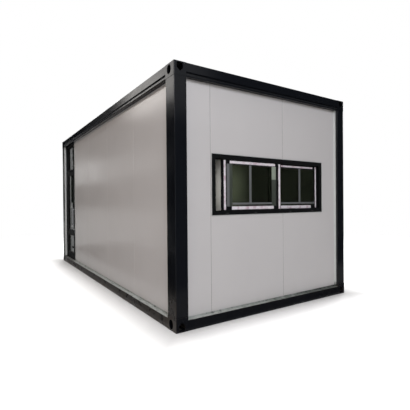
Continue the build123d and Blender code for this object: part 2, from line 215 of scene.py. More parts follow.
# Camera: stands left of the window end, near half the house's height
cameraSetup = {
    "place": (6.0994, -3.1764, 1.3857),
    "pitch": -0.39,  # degrees from level
    "roll": 0.48,
    "heading": 56.68,  # degrees anticlockwise from +Y
    "lens": 30.17, "sensor": 36,  # mm
}
freshStart()
turns = (90 + cameraSetup["pitch"], cameraSetup["roll"], cameraSetup["heading"])
bpy.ops.object.camera_add(location=cameraSetup["place"], rotation=[math.radians(a) for a in turns])
camera = bpy.context.active_object
camera.data.lens = cameraSetup["lens"]
camera.data.sensor_width = cameraSetup["sensor"]
scene.camera = camera
print("camera set")


# Lights: soft boxes for each side, a lamp in the room, a pale floor and a white world
lights = {
    "topBox": {"place": (0.5, -1.0, 8.5), "aim": (0.5, 0, 0), "size": (9, 7), "power": 330},
    "endBox": {"place": (9.5, -3.5, 5.8), "aim": (2.9, -0.6, 1.2), "size": (4, 4), "power": 432,
               "tint": "#F5F8FF"},
    "sideBox": {"place": (4.2, -7.5, 5.2), "aim": (1.6, -1.4, 1.2), "size": (3, 3), "power": 70,
                "tint": "#FFE5D0"},
    "longBox": {"place": (-3.9, -4.3, 5.1), "aim": (-3.9, 0, 5.1), "size": (4.4, 1.4), "power": 54,
                "tint": "#FFFAF4"},
    "backBox": {"place": (-0.6, 9.5, 6.0), "aim": (-0.3, 1.4, 1.2), "size": (4, 4), "power": 520},
    "farBox": {"place": (-10.5, 1.6, 6.0), "aim": (-2.9, 0.2, 1.2), "size": (4, 4), "power": 430},
    "roomLamp": {"place": (0.17, 0.45, 1.68), "aim": (0.17, 1.3, 1.68), "size": (0.9, 0.9), "power": 2.0,
                 "tint": "#F4F5EE", "spread": 60},
}
for lightName, light in lights.items():
    freshStart()
    away = Vector(light["aim"]) - Vector(light["place"])
    facing = away.to_track_quat("-Z", "Y").to_euler()
    bpy.ops.object.light_add(type="AREA", location=light["place"], rotation=facing)
    lamp = bpy.context.active_object
    lamp.name = lightName
    lamp.data.shape = "RECTANGLE"
    lamp.data.size, lamp.data.size_y = light["size"]
    lamp.data.energy = light["power"]
    lamp.data.color = hexColour(light.get("tint", "#FFFFFF"))[:3]
    lamp.data.spread = math.radians(light.get("spread", 180))
    lamp.visible_camera = False
    if lightName == "roomLamp":  # only its pool of light shows through the panes
        lamp.visible_transmission = lamp.visible_glossy = False


def backdropRays(material):
    # 1 for the rays that show the white: from the camera, off gloss and through glass
    rays = addNode(material, "LightPath", {})
    seen = addNode(material, "Math", {
        0: rays.outputs["Is Camera Ray"], 1: rays.outputs["Is Glossy Ray"]}, operation="MAXIMUM")
    return addNode(material, "Math", {0: seen, 1: rays.outputs["Is Transmission Ray"]}, operation="MAXIMUM")


worldSetup = {"fill": "#FFF6EE", "fillStrength": 0.14}
world = bpy.data.worlds.new("studio")
world.use_nodes = True
scene.world = world
plainBack = world.node_tree.nodes["Background"]
wire(world, plainBack, {"Color": hexColour("#FFFFFF"), "Strength": 1.0})
fill = addNode(world, "Background", {
    "Color": hexColour(worldSetup["fill"]), "Strength": worldSetup["fillStrength"]})
worldMix = addNode(world, "MixShader", {0: backdropRays(world), 1: fill, 2: plainBack})
wire(world, world.node_tree.nodes["World Output"], {"Surface": worldMix})

# Floor: a pale disc that fades into the white all round, keeps the shadow of the house and is painted dark
# under it as painted shadow
floorSetup = {
    "radius": 16, "facets": 96, "level": -0.001, "fadeFrom": 5.0, "fadeTo": 11.0,
    "colour": "#F2F2F1", "shade": "#3A3937",  # round the house, and a painted shadow under it, as seen through the fittings
    "lift": 0.72, "under": 0.05, "shadowReach": 0.6,  # glow to white, from the foot of the house outwards
}
freshStart()
bpy.ops.mesh.primitive_circle_add(
    vertices=floorSetup["facets"], radius=floorSetup["radius"], fill_type="NGON",
    location=(0, 0, floorSetup["level"]))
floor = named("floor")
floorPaint, floorShader = startMaterial("pale studio floor")
place = addNode(floorPaint, "TexCoord", {})
reach = addNode(floorPaint, "VectorMath", {0: place.outputs["Object"]}, operation="LENGTH")
fade = addNode(floorPaint, "MapRange", {
    "Value": reach, "From Min": floorSetup["fadeFrom"], "From Max": floorSetup["fadeTo"]},
    interpolation_type="SMOOTHSTEP")
mirrored = addNode(floorPaint, "VectorMath", {0: place.outputs["Object"]}, operation="ABSOLUTE")
beyond = addNode(floorPaint, "VectorMath", {
    0: mirrored, 1: (cadBox[1][0], cadBox[1][1], 0)}, operation="SUBTRACT")
beyondAxes = addNode(floorPaint, "SeparateXYZ", {0: beyond})
outside = addNode(floorPaint, "Math", {
    0: beyondAxes.outputs["X"], 1: beyondAxes.outputs["Y"]}, operation="MAXIMUM")
# painted shadow: the floor's colour turns dark inside the house's footprint
underHouseShadow = addNode(floorPaint, "MapRange", {
    "Value": outside, "From Min": -floorSetup["under"], "From Max": 0.0})
ground = addNode(floorPaint, "Mix", {
    0: underHouseShadow, 6: hexColour(floorSetup["shade"]), 7: hexColour(floorSetup["colour"])}, data_type="RGBA")
wire(floorPaint, floorShader, {"Base Color": ground, "Roughness": 0.9, "Specular IOR Level": 0.1})
opening = addNode(floorPaint, "MapRange", {
    "Value": outside, "From Min": -floorSetup["under"], "From Max": floorSetup["shadowReach"],
    "To Max": floorSetup["lift"]}, interpolation_type="SMOOTHSTEP")
lift = addNode(floorPaint, "Math", {0: backdropRays(floorPaint), 1: opening}, operation="MULTIPLY")
glow = addNode(floorPaint, "Emission", {"Color": hexColour("#FFFFFF"), "Strength": lift})
lifted = addNode(floorPaint, "AddShader", {0: floorShader, 1: glow})
clear = addNode(floorPaint, "BsdfTransparent", {})
floorMix = addNode(floorPaint, "MixShader", {0: fade, 1: lifted, 2: clear})
wire(floorPaint, floorPaint.node_tree.nodes["Material Output"], {"Surface": floorMix})
floor.data.materials.append(floorPaint)


# Flags: black and grey cards that only gloss sees, as a dim hall round the front and the window end would be
flagSetup = {"frontPlane": -4.4, "endPlane": 9.3, "floorLevel": 0.004, "grey": 0.4, "dim": 0.09}


def flagCloth(name, glow):
    cloth, shader = startMaterial(name)
    wire(cloth, shader, {
        "Base Color": hexColour("#050505"), "Roughness": 1.0, "Specular IOR Level": 0.0,
        "Emission Color": hexColour("#FFFFFF"), "Emission Strength": glow})
    return cloth


black = flagCloth("black flag cloth", 0.0)
grey = flagCloth("grey flag cloth", flagSetup["grey"])
dim = flagCloth("dim flag cloth", flagSetup["dim"])
# beside the front: from and to along the house, from and to in height
frontFlags = {
    "nearFlag": (-3.5, 2.5, 0.02, 4.35, black),
    "middleFlag": (-6.3, -3.5, 3.0, 4.62, black),
    "lowFlag": (-15.4, -3.5, 1.15, 2.42, black),
    "highFlag": (-15.4, -10.3, 3.65, 5.05, black),
    "upperFlag": (-10.3, -6.3, 3.3, 5.05, black),
    "topFarFlag": (-15.4, -12.4, 5.05, 14.0, black),
    "topNearFlag": (-7.6, -6.3, 5.05, 14.0, black),
    "jambFlag": (-16.25, -15.4, 1.15, 14.0, black),
    "doorFlag": (-16.50, -16.25, 1.45, 3.4, black),
    "doorHeadFlag": (-16.50, -16.25, 4.9, 14.0, black),
    "farFlag": (-40.0, -16.50, 0.02, 14.0, black),
    "greyFlag": (-16.50, -3.5, 0.02, 1.15, grey),
    "bandFlag": (-10.6, -3.5, 2.42, 3.3, grey),
    "beamFlag": (-12.4, -7.6, 5.05, 14.0, dim),
}
# beyond the window end: from and to across the house, from and to in height
endFlags = {
    "endFlag": (3.3, 16.0, 0.02, 9.0, black),
    "endLowFlag": (-1.0, 3.3, 0.02, 4.3, black),
}
# on the floor: from and to along the house, from and to across it
floorFlags = {
    "frontFloorFlag": (-5.6, 2.6, -4.35, -2.0, black),
    "frontFootFlag": (-5.6, 2.6, -2.0, -1.6, grey),
    "frontBeamFlag": (-5.6, 2.6, -1.6, -1.5, black),
    "farFloorFlag": (-17.0, -5.6, -4.35, -1.5, grey),
    "endFloorFlag": (4.4, 9.2, -3.0, 14.0, black),
    "endFootFlag": (3.3, 4.4, -3.0, 14.0, grey),
    "endBeamFlag": (2.95, 3.3, -3.0, 14.0, black),
}


def flagCard(name, middle, turn, size, cloth):
    card = flatCard(name, middle, turn, size)
    card.data.materials.append(cloth)
    card.visible_camera = card.visible_diffuse = card.visible_shadow = False
    card.visible_transmission = card.visible_volume_scatter = False


for flagName, (start, end, foot, head, cloth) in frontFlags.items():
    flagCard(flagName, ((start + end) / 2, flagSetup["frontPlane"], (foot + head) / 2),
             (quarter, 0, 0), (end - start, head - foot), cloth)
for flagName, (start, end, foot, head, cloth) in endFlags.items():
    flagCard(flagName, (flagSetup["endPlane"], (start + end) / 2, (foot + head) / 2),
             (quarter, 0, quarter), (end - start, head - foot), cloth)
for flagName, (start, end, near, far, cloth) in floorFlags.items():
    flagCard(flagName, ((start + end) / 2, (near + far) / 2, flagSetup["floorLevel"]),
             (0, 0, 0), (end - start, far - near), cloth)
print("studio set")


# Materials
frameBlack = "#131519"


def frameEnamel():
    # two-pack enamel on folded steel: near black, semi-gloss, faint orange peel,
    # road dust low down and on ledges, with the ledges inside the floor fittings kept black as painted shade
    material, shader = startMaterial("black enamel on steel")
    where = addNode(material, "TexCoord", {})
    axes = addNode(material, "SeparateXYZ", {0: where.outputs["Object"]})
    tilt = addNode(material, "SeparateXYZ", {0: where.outputs["Normal"]})
    cloud = addNode(material, "TexNoise", {
        "Vector": where.outputs["Object"], "Scale": perMetre(140), "Detail": 7.0, "Roughness": 0.65})
    low = addNode(material, "MapRange", {
        "Value": axes.outputs["Z"], "From Min": 0.05, "From Max": 0.6, "To Min": 1.0, "To Max": 0.0},
        interpolation_type="SMOOTHSTEP")
    alongSide = addNode(material, "Math", {0: tilt.outputs["Y"]}, operation="ABSOLUTE")
    sideShare = addNode(material, "MapRange", {
        "Value": alongSide, "From Min": 0.2, "From Max": 0.8, "To Min": 0.03, "To Max": 0.5})
    ledge = addNode(material, "MapRange", {
        "Value": tilt.outputs["Z"], "From Min": 0.5, "From Max": 0.95, "To Min": 0.0, "To Max": 0.6})
    outsideFittingShade = addNode(material, "MapRange", {  # painted shade: no dust below this height, so the ledges inside the floor fittings stay black
        "Value": axes.outputs["Z"], "From Min": 0.08, "From Max": 0.11})
    settling = addNode(material, "Math", {0: ledge, 1: outsideFittingShade}, operation="MULTIPLY")
    splash = addNode(material, "Math", {0: low, 1: sideShare}, operation="MULTIPLY")
    settled = addNode(material, "Math", {0: splash, 1: settling}, operation="MAXIMUM")
    patchy = addNode(material, "MapRange", {
        "Value": cloud, "From Min": 0.3, "From Max": 0.72, "To Min": 0.25, "To Max": 1.0})
    dust = addNode(material, "Math", {0: settled, 1: patchy}, operation="MULTIPLY")
    tone = addNode(material, "Mix", {
        0: dust, 6: hexColour(frameBlack), 7: hexColour("#5E564D")}, data_type="RGBA")
    haze = addNode(material, "MapRange", {
        "Value": cloud, "From Min": 0.3, "From Max": 0.7, "To Min": 0.12, "To Max": 0.2})
    dull = addNode(material, "Math", {0: dust, 1: 0.6, 2: haze}, operation="MULTIPLY_ADD")
    # peel is about 2 mm wide on the real paint, drawn at 14 mm so that it shows
    peel = addNode(material, "TexNoise", {
        "Vector": where.outputs["Object"], "Scale": perMetre(14), "Detail": 2.0})
    bump = addNode(material, "Bump", {"Height": peel, "Strength": 0.06, "Distance": 0.002})
    wire(material, shader, {
        "Base Color": tone, "Roughness": dull, "Normal": bump, "Specular IOR Level": 0.15})
    return material


def panelCoat():
    # polyester coil coat on flat steel skins: pale grey, satin, slightly wavy, greyer towards the foot
    material, shader = startMaterial("pale polyester coil coat")
    where = addNode(material, "TexCoord", {})
    axes = addNode(material, "SeparateXYZ", {0: where.outputs["Object"]})
    streakPlace = addNode(material, "Mapping", {
        "Vector": where.outputs["Object"], "Scale": (1.0, 1.0, 0.06)})
    streak = addNode(material, "TexNoise", {"Vector": streakPlace, "Scale": perMetre(90), "Detail": 5.0})
    cloud = addNode(material, "TexNoise", {
        "Vector": where.outputs["Object"], "Scale": perMetre(700), "Detail": 3.0})
    low = addNode(material, "MapRange", {
        "Value": axes.outputs["Z"], "From Min": 0.12, "From Max": 0.5, "To Min": 0.07, "To Max": 0.0},
        interpolation_type="SMOOTHSTEP")
    grime = addNode(material, "Math", {0: low, 1: streak}, operation="MULTIPLY")
    mottle = addNode(material, "Mix", {
        0: cloud, 6: hexColour("#C9C6C5"), 7: hexColour("#CFCCCB")}, data_type="RGBA")
    tone = addNode(material, "Mix", {0: grime, 6: mottle, 7: hexColour("#9C9690")}, data_type="RGBA")
    gloss = addNode(material, "MapRange", {
        "Value": cloud, "From Min": 0.3, "From Max": 0.7, "To Min": 0.17, "To Max": 0.22})
    wave = addNode(material, "TexNoise", {
        "Vector": where.outputs["Object"], "Scale": perMetre(320), "Detail": 1.0})
    bump = addNode(material, "Bump", {"Height": wave, "Strength": 0.12, "Distance": 0.004})
    wire(material, shader, {
        "Base Color": tone, "Roughness": gloss, "Normal": bump, "Specular IOR Level": 0.4})
    return material


lapSetup = {
    "from": 2.868,  # distance from the middle of the house, along it
    "foot": 0.136, "fullFrom": 0.137,  # height at which the posts start to lap the trim
    "doorAlong": -2.70, "doorReach": 0.04,  # the trim beside the door, along the house
    "doorFace": -1.392, "doorCover": 0.015,  # its inner edge, across the house
}


def trimCoat():
    # folded trim in the same coat: pale, grey-green dust with dark crumbs where it lies low,
    # black where a post or the door frame laps it
    material, shader = startMaterial("pale coated trim")
    where = addNode(material, "TexCoord", {})
    axes = addNode(material, "SeparateXYZ", {0: where.outputs["Object"]})
    low = addNode(material, "MapRange", {
        "Value": axes.outputs["Z"], "From Min": 0.13, "From Max": 0.19, "To Min": 1.0, "To Max": 0.0})
    cloud = addNode(material, "TexNoise", {
        "Vector": where.outputs["Object"], "Scale": perMetre(110), "Detail": 6.0, "Roughness": 0.7})
    crumbs = addNode(material, "TexNoise", {
        "Vector": where.outputs["Object"], "Scale": perMetre(55), "Detail": 4.0, "Roughness": 0.7})
    soiling = addNode(material, "MapRange", {
        "Value": axes.outputs["Y"], "From Min": -0.9, "From Max": 0.7, "To Min": 1.0, "To Max": 1.9})
    drift = addNode(material, "Math", {0: cloud, 1: soiling}, operation="MULTIPLY")
    dusty = addNode(material, "Math", {0: low, 1: drift}, operation="MULTIPLY", use_clamp=True)
    speck = addNode(material, "MapRange", {
        "Value": crumbs, "From Min": 0.54, "From Max": 0.68, "To Min": 0.0, "To Max": 0.75})
    lowSpeck = addNode(material, "Math", {0: speck, 1: low}, operation="MULTIPLY")
    pale = addNode(material, "Mix", {
        0: dusty, 6: hexColour("#CDCFCD"), 7: hexColour("#727A73")}, data_type="RGBA")
    heavy = addNode(material, "MapRange", {
        "Value": axes.outputs["Y"], "From Min": -0.3, "From Max": 0.8, "To Min": 0.0, "To Max": 1.6})
    caked = addNode(material, "Math", {0: heavy, 1: dusty}, operation="MULTIPLY")
    cakedPatch = addNode(material, "Math", {0: caked, 1: cloud}, operation="MULTIPLY", use_clamp=True)
    soiled = addNode(material, "Mix", {0: cakedPatch, 6: pale, 7: hexColour("#353936")}, data_type="RGBA")
    tone = addNode(material, "Mix", {0: lowSpeck, 6: soiled, 7: hexColour("#3B3E3A")}, data_type="RGBA")
    lengthwise = addNode(material, "Math", {0: axes.outputs["X"]}, operation="ABSOLUTE")
    upper = addNode(material, "MapRange", {
        "Value": axes.outputs["Z"], "From Min": lapSetup["foot"], "From Max": lapSetup["fullFrom"]})
    beyondLap = addNode(material, "Math", {0: lengthwise, 1: lapSetup["from"]}, operation="GREATER_THAN")
    lap = addNode(material, "Math", {0: beyondLap, 1: upper}, operation="MULTIPLY")
    besideDoor = addNode(material, "Math", {
        0: axes.outputs["X"], 1: lapSetup["doorAlong"], 2: lapSetup["doorReach"]}, operation="COMPARE")
    innerEdge = addNode(material, "Math", {
        0: axes.outputs["Y"], 1: lapSetup["doorFace"], 2: lapSetup["doorCover"]}, operation="COMPARE")
    doorLap = addNode(material, "Math", {0: besideDoor, 1: innerEdge}, operation="MULTIPLY")
    bothLaps = addNode(material, "Math", {0: lap, 1: doorLap}, operation="MAXIMUM")
    lapped = addNode(material, "Mix", {0: bothLaps, 6: tone, 7: hexColour(frameBlack)}, data_type="RGBA")
    dull = addNode(material, "MapRange", {"Value": low, "To Min": 0.4, "To Max": 0.8})
    bump = addNode(material, "Bump", {"Height": crumbs, "Strength": 0.1, "Distance": 0.002})
    wire(material, shader, {"Base Color": lapped, "Roughness": dull, "Normal": bump})
    return material


def powderCoat():
    # powder coat on extruded aluminium: deep black, fine sand texture, low sheen
    material, shader = startMaterial("black powder coat")
    where = addNode(material, "TexCoord", {})
    tilt = addNode(material, "SeparateXYZ", {0: where.outputs["Normal"]})
    # grit is under 1 mm on the real coat, drawn at 5 mm so that it shows
    grit = addNode(material, "TexNoise", {
        "Vector": where.outputs["Object"], "Scale": perMetre(5), "Detail": 3.0})
    cloud = addNode(material, "TexNoise", {
        "Vector": where.outputs["Object"], "Scale": perMetre(160), "Detail": 5.0})
    ledge = addNode(material, "MapRange", {
        "Value": tilt.outputs["Z"], "From Min": 0.5, "From Max": 0.95, "To Min": 0.0, "To Max": 0.55})
    dust = addNode(material, "Math", {0: ledge, 1: cloud}, operation="MULTIPLY")
    tone = addNode(material, "Mix", {
        0: dust, 6: hexColour("#111213"), 7: hexColour("#4A4743")}, data_type="RGBA")
    gloss = addNode(material, "MapRange", {
        "Value": cloud, "From Min": 0.3, "From Max": 0.7, "To Min": 0.48, "To Max": 0.6})
    bump = addNode(material, "Bump", {"Height": grit, "Strength": 0.08, "Distance": 0.001})
    wire(material, shader, {
        "Base Color": tone, "Roughness": gloss, "Normal": bump, "Specular IOR Level": 0.06})
    return material


def tintedGlass(name, tint):
    # body-tinted float glass: green-black against a room, sharp reflections,
    # smeared where hands and rain have been
    material, shader = startMaterial(name)
    where = addNode(material, "TexCoord", {})
    smear = addNode(material, "TexNoise", {
        "Vector": where.outputs["Object"], "Scale": perMetre(130), "Detail": 5.0, "Distortion": 0.6})
    haze = addNode(material, "MapRange", {
        "Value": smear, "From Min": 0.45, "From Max": 0.75, "To Min": 0.01, "To Max": 0.08})
    wire(material, shader, {
        "Base Color": hexColour(tint), "Roughness": haze, "Transmission Weight": 1.0, "IOR": 1.52})
    return material


def zincSheet(name, spangle, pale, dark):
    # hot dip zinc: flat crystals that catch the light by turns, dulled by weather
    material, shader = startMaterial(name)
    where = addNode(material, "TexCoord", {})
    crystal = addNode(material, "TexVoronoi", {
        "Vector": where.outputs["Object"], "Scale": perMetre(spangle)})
    weather = addNode(material, "TexNoise", {
        "Vector": where.outputs["Object"], "Scale": perMetre(240), "Detail": 6.0})
    share = addNode(material, "SeparateColor", {0: crystal.outputs["Color"]})
    blend = addNode(material, "Math", {0: share, 1: weather}, operation="MULTIPLY")
    tone = addNode(material, "Mix", {0: blend, 6: hexColour(pale), 7: hexColour(dark)}, data_type="RGBA")
    dull = addNode(material, "MapRange", {
        "Value": weather, "From Min": 0.3, "From Max": 0.7, "To Min": 0.42, "To Max": 0.6})
    wire(material, shader, {"Base Color": tone, "Metallic": 1.0, "Roughness": dull})
    return material


def floorPly():
    # sealed birch plywood: long brown grain along the house, faint board mottling
    material, shader = startMaterial("sealed plywood")
    where = addNode(material, "TexCoord", {})
    grainPlace = addNode(material, "Mapping", {
        "Vector": where.outputs["Object"], "Scale": (0.06, 1.0, 1.0)})
    grain = addNode(material, "TexNoise", {
        "Vector": grainPlace, "Scale": perMetre(9), "Detail": 6.0, "Distortion": 0.8})
    cloud = addNode(material, "TexNoise", {
        "Vector": where.outputs["Object"], "Scale": perMetre(400), "Detail": 3.0})
    figure = addNode(material, "Math", {0: grain, 1: cloud}, operation="MULTIPLY")
    shade = addNode(material, "MapRange", {"Value": figure, "From Min": 0.12, "From Max": 0.42})
    tone = addNode(material, "Mix", {
        0: shade, 6: hexColour("#6E5034"), 7: hexColour("#A98358")}, data_type="RGBA")
    bump = addNode(material, "Bump", {"Height": grain, "Strength": 0.15, "Distance": 0.001})
    wire(material, shader, {"Base Color": tone, "Roughness": 0.5, "Normal": bump})
    return material


def ceilingCoat():
    # white coated ceiling boards: even, matt, a little yellowed in patches
    material, shader = startMaterial("white ceiling coat")
    where = addNode(material, "TexCoord", {})
    cloud = addNode(material, "TexNoise", {
        "Vector": where.outputs["Object"], "Scale": perMetre(500), "Detail": 4.0})
    tone = addNode(material, "Mix", {
        0: cloud, 6: hexColour("#E4E4E1"), 7: hexColour("#DAD8D0")}, data_type="RGBA")
    wire(material, shader, {"Base Color": tone, "Roughness": 0.6})
    return material


def brushedMetal(name, pale, dark, stretch, line, smooth, rough):
    # rolled or brushed metal: fine lines along one way, streaked gloss
    material, shader = startMaterial(name)
    where = addNode(material, "TexCoord", {})
    along = addNode(material, "Mapping", {"Vector": where.outputs["Object"], "Scale": stretch})
    lines = addNode(material, "TexNoise", {"Vector": along, "Scale": perMetre(line), "Detail": 4.0})
    tone = addNode(material, "Mix", {0: lines, 6: hexColour(pale), 7: hexColour(dark)}, data_type="RGBA")
    gloss = addNode(material, "MapRange", {
        "Value": lines, "From Min": 0.3, "From Max": 0.7, "To Min": smooth, "To Max": rough})
    wire(material, shader, {"Base Color": tone, "Metallic": 1.0, "Roughness": gloss})
    return material


def hingeEnamel():
    # black enamel on cast hinges: thin over the casting, dulled by handling
    material, shader = startMaterial("black hinge enamel")
    where = addNode(material, "TexCoord", {})
    cast = addNode(material, "TexNoise", {
        "Vector": where.outputs["Object"], "Scale": perMetre(12), "Detail": 4.0})
    tone = addNode(material, "Mix", {
        0: cast, 6: hexColour("#121314"), 7: hexColour("#26272A")}, data_type="RGBA")
    bump = addNode(material, "Bump", {"Height": cast, "Strength": 0.12, "Distance": 0.001})
    wire(material, shader, {"Base Color": tone, "Roughness": 0.4, "Normal": bump})
    return material


def peFilm():
    # polyethylene protective film: milky white, creased, with pink print ghosting through in blotches and
    # painted shade in its creases
    material, shader = startMaterial("milky protective film")
    where = addNode(material, "TexCoord", {})
    blotch = addNode(material, "TexNoise", {
        "Vector": where.outputs["Object"], "Scale": perMetre(70), "Detail": 4.0})
    crease = addNode(material, "TexNoise", {
        "Vector": where.outputs["Object"], "Scale": perMetre(22), "Detail": 5.0, "Distortion": 1.2})
    pink = addNode(material, "MapRange", {
        "Value": blotch, "From Min": 0.5, "From Max": 0.68, "To Min": 0.0, "To Max": 0.6})
    milk = addNode(material, "Mix", {
        0: pink, 6: hexColour("#E8E2E6"), 7: hexColour("#AE8092")}, data_type="RGBA")
    # painted shade: the film's colour turns darker along the creases
    fold = addNode(material, "MapRange", {
        "Value": crease, "From Min": 0.58, "From Max": 0.74, "To Min": 0.0, "To Max": 0.5})
    tone = addNode(material, "Mix", {0: fold, 6: milk, 7: hexColour("#75696F")}, data_type="RGBA")
    bump = addNode(material, "Bump", {"Height": crease, "Strength": 0.4, "Distance": 0.003})
    wire(material, shader, {"Base Color": tone, "Roughness": 0.32, "Normal": bump})
    return material


def softBlack(name, colour, rough, grain):
    # moulded rubber or nylon: dull black with a bloom of paler dust in its pores
    material, shader = startMaterial(name)
    where = addNode(material, "TexCoord", {})
    bloom = addNode(material, "TexNoise", {
        "Vector": where.outputs["Object"], "Scale": perMetre(grain), "Detail": 4.0})
    share = addNode(material, "MapRange", {
        "Value": bloom, "From Min": 0.4, "From Max": 0.8, "To Min": 0.0, "To Max": 0.35})
    tone = addNode(material, "Mix", {
        0: share, 6: hexColour(colour), 7: hexColour("#4A4844")}, data_type="RGBA")
    wire(material, shader, {"Base Color": tone, "Roughness": rough})
    return material


def greySealant():
    # neutral silicone: soft grey, tooled by finger, a little shiny
    material, shader = startMaterial("grey silicone sealant")
    where = addNode(material, "TexCoord", {})
    drag = addNode(material, "TexNoise", {
        "Vector": where.outputs["Object"], "Scale": perMetre(16), "Detail": 3.0})
    tone = addNode(material, "Mix", {
        0: drag, 6: hexColour("#A6A7A6"), 7: hexColour("#BDBDBC")}, data_type="RGBA")
    bump = addNode(material, "Bump", {"Height": drag, "Strength": 0.25, "Distance": 0.002})
    wire(material, shader, {"Base Color": tone, "Roughness": 0.35, "Normal": bump})
    return material


def barPaint(name, dark, pale):
    # plain paint on flat bar: satin, scuffed paler in places
    material, shader = startMaterial(name)
    where = addNode(material, "TexCoord", {})
    scuff = addNode(material, "TexNoise", {
        "Vector": where.outputs["Object"], "Scale": perMetre(45), "Detail": 6.0, "Roughness": 0.7})
    tone = addNode(material, "Mix", {0: scuff, 6: hexColour(dark), 7: hexColour(pale)}, data_type="RGBA")
    wire(material, shader, {"Base Color": tone, "Roughness": 0.5})
    return material


slotMaterials = {
    "frame_paint": frameEnamel(),
    "panel_coat": panelCoat(),
    "trim_coat": trimCoat(),
    "black_aluminium": powderCoat(),
    "tinted_glass": tintedGlass("green tinted float glass", "#69725F"),
    "roof_zinc": zincSheet("weathered zinc roof sheet", 12, "#A9ADB0", "#8D9296"),
    "joist_zinc": zincSheet("hot dip zinc joist", 12, "#B0B4B7", "#8C9195"),
    "floor_ply": floorPly(),
    "ceiling_coat": ceilingCoat(),
    "threshold_aluminium": brushedMetal(
        "dusty rolled aluminium", "#A3A29E", "#7C7B77", (0.05, 1, 1), 6, 0.4, 0.62),
    "hinge_paint": hingeEnamel(),
    "pull_steel": brushedMetal("brushed stainless steel", "#C9CACB", "#A2A4A6", (1, 1, 0.05), 3, 0.22, 0.4),
}
for row in frame["record"]["subparts"]:
    node = nodes[row["node"]]
    node.data.materials.clear()
    node.data.materials.append(slotMaterials[row["material_slot"]])
darkGlass = tintedGlass("dark tinted float glass", "#3A413B")  # the door's panes let less light through
for paneNode in ("door_glass", "transom_glass"):
    nodes[paneNode].data.materials[0] = darkGlass
film = peFilm()
gasketRubber = softBlack("black EPDM rubber", "#0B0B0B", 0.75, 14)
capNylon = softBlack("black nylon", "#121212", 0.55, 9)
sealant = greySealant()
# partly painted shade: the butyl is dark enough to stand in for the shadow in the panel grooves
butylAndGrooveShade = softBlack("grey butyl and painted groove shade", "#747270", 0.8, 30)
greyBar = barPaint("grey bar paint", "#575A5A", "#6E7070")
# two copies of one green: a dark one that is painted shade and a pale one that is painted light
shadedGreenBar = barPaint("green bar, painted shade", "#30352F", "#434941")
litGreenBar = barPaint("green bar, painted light", "#838D7E", "#98A192")
rivetMetal = brushedMetal("domed rivet aluminium", "#B9BABA", "#8D8F90", (1, 1, 1), 4, 0.35, 0.5)
screwMetal = brushedMetal("zinc plated screw", "#AEB2B4", "#83888B", (1, 1, 1), 3, 0.35, 0.55)
print("materials made:", len(bpy.data.materials))


# Window: film left on the sashes, bars on the panes, gaskets, sealant and drain caps
leftFace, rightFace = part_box("window_sash_left")[1].x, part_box("window_sash_right")[1].x
windowLow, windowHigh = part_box("window_frame")

filmSetup = {
    "lift": 0.0012, "thickness": 0.0012, "cell": 0.012, "fewest": 3,  # cells across a strip
    "crease": 0.0035, "creaseLevel": 0.2, "wander": 0.004, "wanderLevel": 0.5,
    "noise": 0.035, "noiseStep": 0.004, "smooth": 60,  # no two strips crease alike
}
# each strip: sash face, from and to across the wall, from and to in height
filmStrips = {
    "filmLeftStile": (leftFace, -0.762, -0.735, 1.2985, 1.8875),
    "filmLeftTop": (leftFace, -0.671, 0.072, 1.854, 1.885),
    "filmLeftFoot": (leftFace, -0.645, 0.046, 1.299, 1.337),
    "filmLeftMeeting": (leftFace, 0.135, 0.167, 1.2985, 1.887),
    "filmRightTop": (rightFace, 0.212, 0.846, 1.858, 1.881),
    "filmRightFoot": (rightFace, 0.202, 0.809, 1.298, 1.337),
    "filmRightStile": (rightFace, 0.900, 0.924, 1.3025, 1.886),
}


def filmStrip(name, face, start, end, foot, head, seed):
    freshStart()
    wide, tall = end - start, head - foot
    middle = (face + filmSetup["lift"], (start + end) / 2, (foot + head) / 2)
    bpy.ops.mesh.primitive_grid_add(
        x_subdivisions=max(filmSetup["fewest"], round(tall / filmSetup["cell"])),
        y_subdivisions=max(filmSetup["fewest"], round(wide / filmSetup["cell"])),
        size=1, location=middle, rotation=(0, quarter, 0))
    bpy.context.active_object.scale = (tall, wide, 1)
    strip = named(name)
    creases = bpy.data.textures.new(name, "CLOUDS")
    creases.noise_scale = filmSetup["noise"] + filmSetup["noiseStep"] * seed
    # out of the sash for creases, then across it so that the edges wander
    for direction, move in (("NORMAL", "crease"), ("Z", "wander"), ("Y", "wander")):
        applyModifier(strip, "DISPLACE", texture=creases, texture_coords="LOCAL", direction=direction,
                      strength=filmSetup[move], mid_level=filmSetup[move + "Level"])
    applyModifier(strip, "SOLIDIFY", thickness=filmSetup["thickness"], offset=1.0)
    finishMesh(strip, filmSetup["smooth"])
    dress(strip, film, "house")


for seed, (stripName, strip) in enumerate(filmStrips.items()):
    filmStrip(stripName, *strip, seed)
print("film strips:", len(filmStrips))

barSetup = {"thickness": 0.006, "round": 0.0015}
# heights on the panes: their foot and head, the level bar, and where the green strip turns from painted shade
# below to painted light above
paneFoot, paneHead, railFoot, railHead, litStripFoot = 1.337, 1.849, 1.359, 1.383, 1.680
paneLeft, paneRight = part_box("window_glass_left")[1].x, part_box("window_glass_right")[1].x
